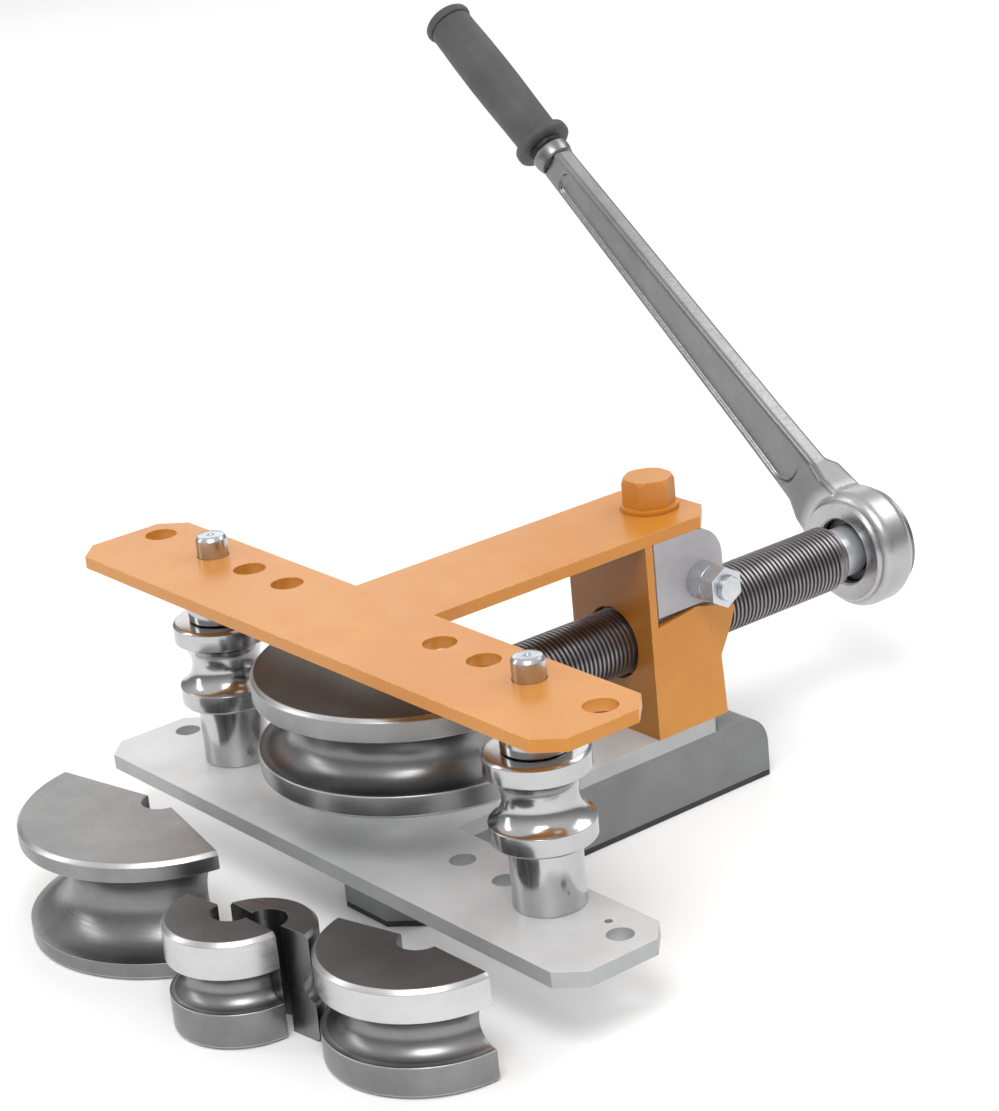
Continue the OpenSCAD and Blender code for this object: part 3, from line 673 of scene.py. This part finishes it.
def blend_to(z, *stops):
    """A value between (z, value) stops."""
    for (z0, v0), (z1, v1) in zip(stops, stops[1:]):
        if z <= z1:
            t = max(0, min(1, (z - z0) / (z1 - z0)))
            return v0 + (v1 - v0) * t
    return stops[-1][1]


def flank(w, t, panel_w, deep):
    """Half of the bar's section, from its right edge over one flat side to its left edge. w is half the
    width, t the thickness on this side, and the panel of half width panel_w is sunk by deep."""
    r, draft = 3.6, 1.0
    turns = [math.radians(k) for k in (22, 45, 68, 90)]
    return ([(w, y) for y in (0, (t - r) / 2, t - r)]
            + [(w - r + r * math.cos(q), t - r + r * math.sin(q)) for q in turns]
            + [(panel_w + draft, t), (panel_w, t - deep), (panel_w * 0.3, t - deep),
               (-panel_w * 0.3, t - deep), (-panel_w, t - deep), (-panel_w - draft, t)]
            + [(-w + r - r * math.cos(q), t - r + r * math.sin(q)) for q in turns[::-1]]
            + [(-w, t - r), (-w, (t - r) / 2)])


def bar():
    """The forged bar: a tapering I section with round-ended panels, thick where the pawl's pocket is."""
    bm = bmesh.new()
    panel_from, panel_to, panel_deep, flange = 66.0, 358.0, 3.4, 5.2
    top = GRIP_START - 16
    rings = []
    for k in range(int(top / 2) + 1):
        z = 2.0 * k
        w = blend_to(z, (0, 27), (34, 24.5), (60, 20.6), (115, 18.5), (top, 12.5))
        front = blend_to(z, (0, 12.3), (46, 12.2), (60, 8.2), (64, 8))
        back = blend_to(z, (0, 14), (54, 14), (62, 8))
        panel_w, deep = w - flange, panel_deep
        to_end = min(z - panel_from, panel_to - z)
        if to_end <= 0:
            panel_w, deep = 0.01, 0.0
        else:
            deep *= min(1, to_end / 2.5)
            if to_end < panel_w:
                panel_w = max(0.01, math.sqrt(panel_w ** 2 - (panel_w - to_end) ** 2))
        whole = flank(w, back, panel_w, deep) + [(-x, -y) for x, y in flank(w, front, panel_w, deep)]
        rings.append([bm.verts.new((x * MM, y * MM, z * MM)) for x, y in whole])
    for p, q in zip(rings, rings[1:]):
        for j in range(len(p)):
            bm.faces.new((p[j], p[(j + 1) % len(p)], q[(j + 1) % len(p)], q[j]))
    bm.faces.new(rings[0][::-1])
    bm.faces.new(rings[-1])
    return bm


def head():
    """The forged head: a thick disc with rolled edges, about the screw's axis."""
    flat = HEAD_R - HEAD_ROLL
    outline = ([(0, -HEAD_HALF)] + arc(flat, -HEAD_HALF + HEAD_ROLL, HEAD_ROLL, -90, 0, 10)
               + arc(flat, HEAD_HALF - HEAD_ROLL, HEAD_ROLL, 0, 90, 10) + [(0, HEAD_HALF)])
    bm = revolve(outline, 128)
    bmesh.ops.rotate(bm, verts=bm.verts, matrix=Matrix.Rotation(math.radians(-90), 3, "X"))
    return bm


def forged(*solids):
    """The solids melted into one skin with soft inner corners. They are turned askew meanwhile, because a
    face that is nearly in line with the skin's grid comes out stepped."""
    bm = bmesh.new()
    for one in solids:
        bmesh.ops.recalc_face_normals(one, faces=one.faces)
        mesh = bpy.data.meshes.new("part")
        one.to_mesh(mesh)
        one.free()
        bm.from_mesh(mesh)
        bpy.data.meshes.remove(mesh)
    askew = Matrix.Rotation(math.radians(33), 4, Vector((1, 0.6, 0.4)))
    bm.transform(askew)
    mesh = bpy.data.meshes.new("melt")
    bm.to_mesh(mesh)
    bm.free()
    obj = bpy.data.objects.new("melt", mesh)
    bpy.context.scene.collection.objects.link(obj)
    skin = obj.modifiers.new("skin", "REMESH")
    skin.mode = "VOXEL"
    skin.voxel_size = 0.7 * MM
    soft = obj.modifiers.new("soft", "SMOOTH")
    soft.factor = 0.5
    soft.iterations = 14
    out = evaluated(obj)
    bpy.data.objects.remove(obj)
    out.transform(askew.inverted())
    return out


def drum(r, y0, y1, segments=96):
    """A closed cylinder about the screw's axis, in the handle's frame."""
    bm = revolve([(0, y0), (r, y0), (r, y1), (0, y1)], segments)
    bmesh.ops.rotate(bm, verts=bm.verts, matrix=Matrix.Rotation(math.radians(-90), 3, "X"))
    return bm


def block(x, y0, y1, z0, z1):
    """A closed box, x to either side of the middle."""
    bm = bmesh.new()
    bmesh.ops.create_cube(bm, size=1, matrix=Matrix.Translation((0, (y0 + y1) / 2 * MM, (z0 + z1) / 2 * MM))
                          @ Matrix.Diagonal((2 * x * MM, (y1 - y0) * MM, (z1 - z0) * MM, 1)))
    return bm


BORE_R, GEAR_ROOM_R, RING_R, POCKET_HALF, POCKET_END = 22.5, 27.0, 35.5, 9, 48
handle = forged(head(), bar())
handle = cut(handle, drum(BORE_R + 2.5, -HEAD_HALF - 3, 0))
handle = cut(handle, drum(GEAR_ROOM_R, -HEAD_HALF + 4, HEAD_HALF + 3))
handle = cut(handle, block(POCKET_HALF, -HEAD_HALF + 4, HEAD_HALF + 3, 0, POCKET_END))
piece("ratchet_handle_forged", handle, ["ratchet_handle"], mats=[FORGING], place=HANDLE, sharp=48)
rim = [(BORE_R, -15.6), (BORE_R + 1.4, -17), (RING_R - 1.6, -17), (RING_R, -15.4), (RING_R, -12.4),
       (BORE_R, -10.2)]
piece("ratchet_ring", revolve(fillet(rim, 0.6, closed=True), 128, closed=True), ["ratchet_handle"],
      mats=[RING_CHROME], place=HANDLE @ Matrix.Rotation(math.radians(-90), 4, "X"))


def turned_on_handle(name, node, outline, start, corner=0.6, steps=4, hollow=True):
    """A piece turned about the handle's own axis, from an outline of (radius, distance from start)."""
    bm = revolve(fillet(outline, corner, closed=hollow, steps=steps), 96, closed=hollow)
    bm.transform(HANDLE @ Matrix.Translation((0, 0, start * MM)))
    return piece(name, bm, [node])


CAP_LEN, FERRULE_LEN, TANG_R = 9, 16, 9.02
GRIP_LEN = HANDLE_LEN - GRIP_START - CAP_LEN
ferrule = [(TANG_R, 0), (12.6, 0), (13.6, 1.2), (14.5, 5), (14.5, 9.5), (13.2, 12.4), (13.0, 15.8),
           (TANG_R, 15.8)]
turned_on_handle("ferrule_turned", "ferrule", ferrule, GRIP_START - FERRULE_LEN)
g = GRIP_LEN
grip = [(TANG_R, 0), (19.6, 0), (21.3, 1.4), (21.5, 4), (21.2, 6.6), (19.4, 8.2), (17.0, 9.4), (16.5, 12),
        (16.8, g * 0.25), (17.4, g * 0.45), (17.5, g * 0.6), (17.2, g * 0.78), (16.6, g * 0.92), (16.5, g),
        (TANG_R, g)]
turned_on_handle("grip_moulded", "grip", grip, GRIP_START, 1.2, steps=6)
cap = [(0, 0), (17.3, 0), (18.0, 1.6), (18.2, 3.4), (17.6, 5.6), (15.4, 7.6), (9, 8.8), (0, 9)]
turned_on_handle("grip_cap_moulded", "grip_end_cap", cap, HANDLE_LEN - CAP_LEN, 1.2, steps=6, hollow=False)
TANG_SOLID_R = TANG_R - 0.04
tang = [(0, -4), (TANG_SOLID_R, -4), (TANG_SOLID_R, g - 26), (8, g - 25), (0, g - 25)]
piece("handle_tang", revolve(fillet(tang, 0.5), 64), ["ratchet_handle"],
      place=HANDLE @ Matrix.Translation((0, 0, (GRIP_START - 12) * MM)))

# ---------------------------------------------------------------- spring


def coil(radius, wire, height, turns, sides=10, per_turn=28):
    """A compression spring along Z with closed ends. radius is the coil's, wire its wire's."""
    bm = bmesh.new()
    rings = []
    up = Vector((0, 0, 1))
    steps = turns * per_turn
    for i in range(steps + 1):
        t = i / steps
        rise = (t * t * (3 - 2 * t)) * (height - 2 * wire) + wire
        angle = 2 * math.pi * turns * t
        out = Vector((math.cos(angle), math.sin(angle), 0))
        mid = out * radius + up * rise
        rings.append([bm.verts.new((mid + (out * math.cos(q) + up * math.sin(q)) * wire) * MM)
                      for q in (2 * math.pi * k / sides for k in range(sides))])
    for p, q in zip(rings, rings[1:]):
        for j in range(sides):
            bm.faces.new((p[j], p[(j + 1) % sides], q[(j + 1) % sides], q[j]))
    bm.faces.new(rings[0][::-1])
    bm.faces.new(rings[-1])
    return bm


SPRING_R, SPRING_WIRE, SPRING_LEN, SPRING_TURNS, SPRING_FROM = 2.5, 0.45, 5, 4, 42.9
piece("pawl_spring_coil", coil(SPRING_R, SPRING_WIRE, SPRING_LEN, SPRING_TURNS), ["pawl_spring"],
      place=HANDLE @ Matrix.Translation((0, 0, SPRING_FROM * MM)))

# ---------------------------------------------------------------- the other CAD nodes, as they are

for name, node in NODES.items():
    if not node.hide_render:
        for s in node.material_slots:
            s.material = MATS[SLOTS[name]]

# ---------------------------------------------------------------- floor and light

FLOOR_HALF = 14


def floor():
    """White paper on which everything stands."""
    mesh = bpy.data.meshes.new("floor")
    c = FLOOR_HALF
    mesh.from_pydata([(-c, -c, 0), (c, -c, 0), (c, c, 0), (-c, c, 0)], [], [(0, 1, 2, 3)])
    g = Graph("floor_paper").set(Roughness=0.9)
    g.link(g.ramp(g.noise(2, 2), (0.3, srgb(250, 250, 250)), (0.7, srgb(253, 253, 253))), "Base Color")
    mesh.materials.append(g.material)
    obj = bpy.data.objects.new("floor", mesh)
    bpy.context.scene.collection.objects.link(obj)


def softbox(name, place, target, width, height, watts):
    """A rectangular light at place, in metres, that faces target."""
    data = bpy.data.lights.new(name, "AREA")
    data.shape = "RECTANGLE"
    data.size, data.size_y, data.energy = width, height, watts
    obj = bpy.data.objects.new(name, data)
    obj.location = place
    obj.rotation_euler = (Vector(target) - Vector(place)).to_track_quat("-Z", "Y").to_euler()
    bpy.context.scene.collection.objects.link(obj)


def sky():
    """Even studio light: bright overhead, darker towards the horizon, so that metal has a mirror image."""
    world = bpy.data.worlds.new("studio")
    bpy.context.scene.world = world
    world.use_nodes = True
    nt = world.node_tree
    coords = nt.nodes.new("ShaderNodeTexCoord").outputs["Generated"]
    parts = nt.nodes.new("ShaderNodeSeparateXYZ")
    nt.links.new(coords, parts.inputs[0])
    ramp = nt.nodes.new("ShaderNodeValToRGB")
    spots = ramp.color_ramp.elements
    levels = ((0.0, 0.26), (0.16, 0.34), (0.34, 0.55), (0.6, 0.9), (1.0, 1.0))
    while len(spots) < len(levels):
        spots.new(0.5)
    for spot, (z, level) in zip(spots, levels):
        spot.position, spot.color = z, (level, level, level, 1)
    nt.links.new(parts.outputs["Z"], ramp.inputs["Fac"])
    nt.links.new(ramp.outputs["Color"], nt.nodes["Background"].inputs["Color"])
    nt.nodes["Background"].inputs["Strength"].default_value = 0.9


floor()
sky()
softbox("key", (1.5, -1.4, 2.8), (0, -0.05, 0.1), 1.3, 1.3, 52)
softbox("side", (-1.8, -1.8, 1.3), (0, -0.1, 0.1), 0.5, 1.6, 9)
softbox("rear", (0.6, 2.2, 2.2), (0, 0, 0.1), 1.6, 1.2, 20)
softbox("sheen", (-2.7, 2.0, 1.5), (0, 0, 0.15), 2.4, 1.3, 11)
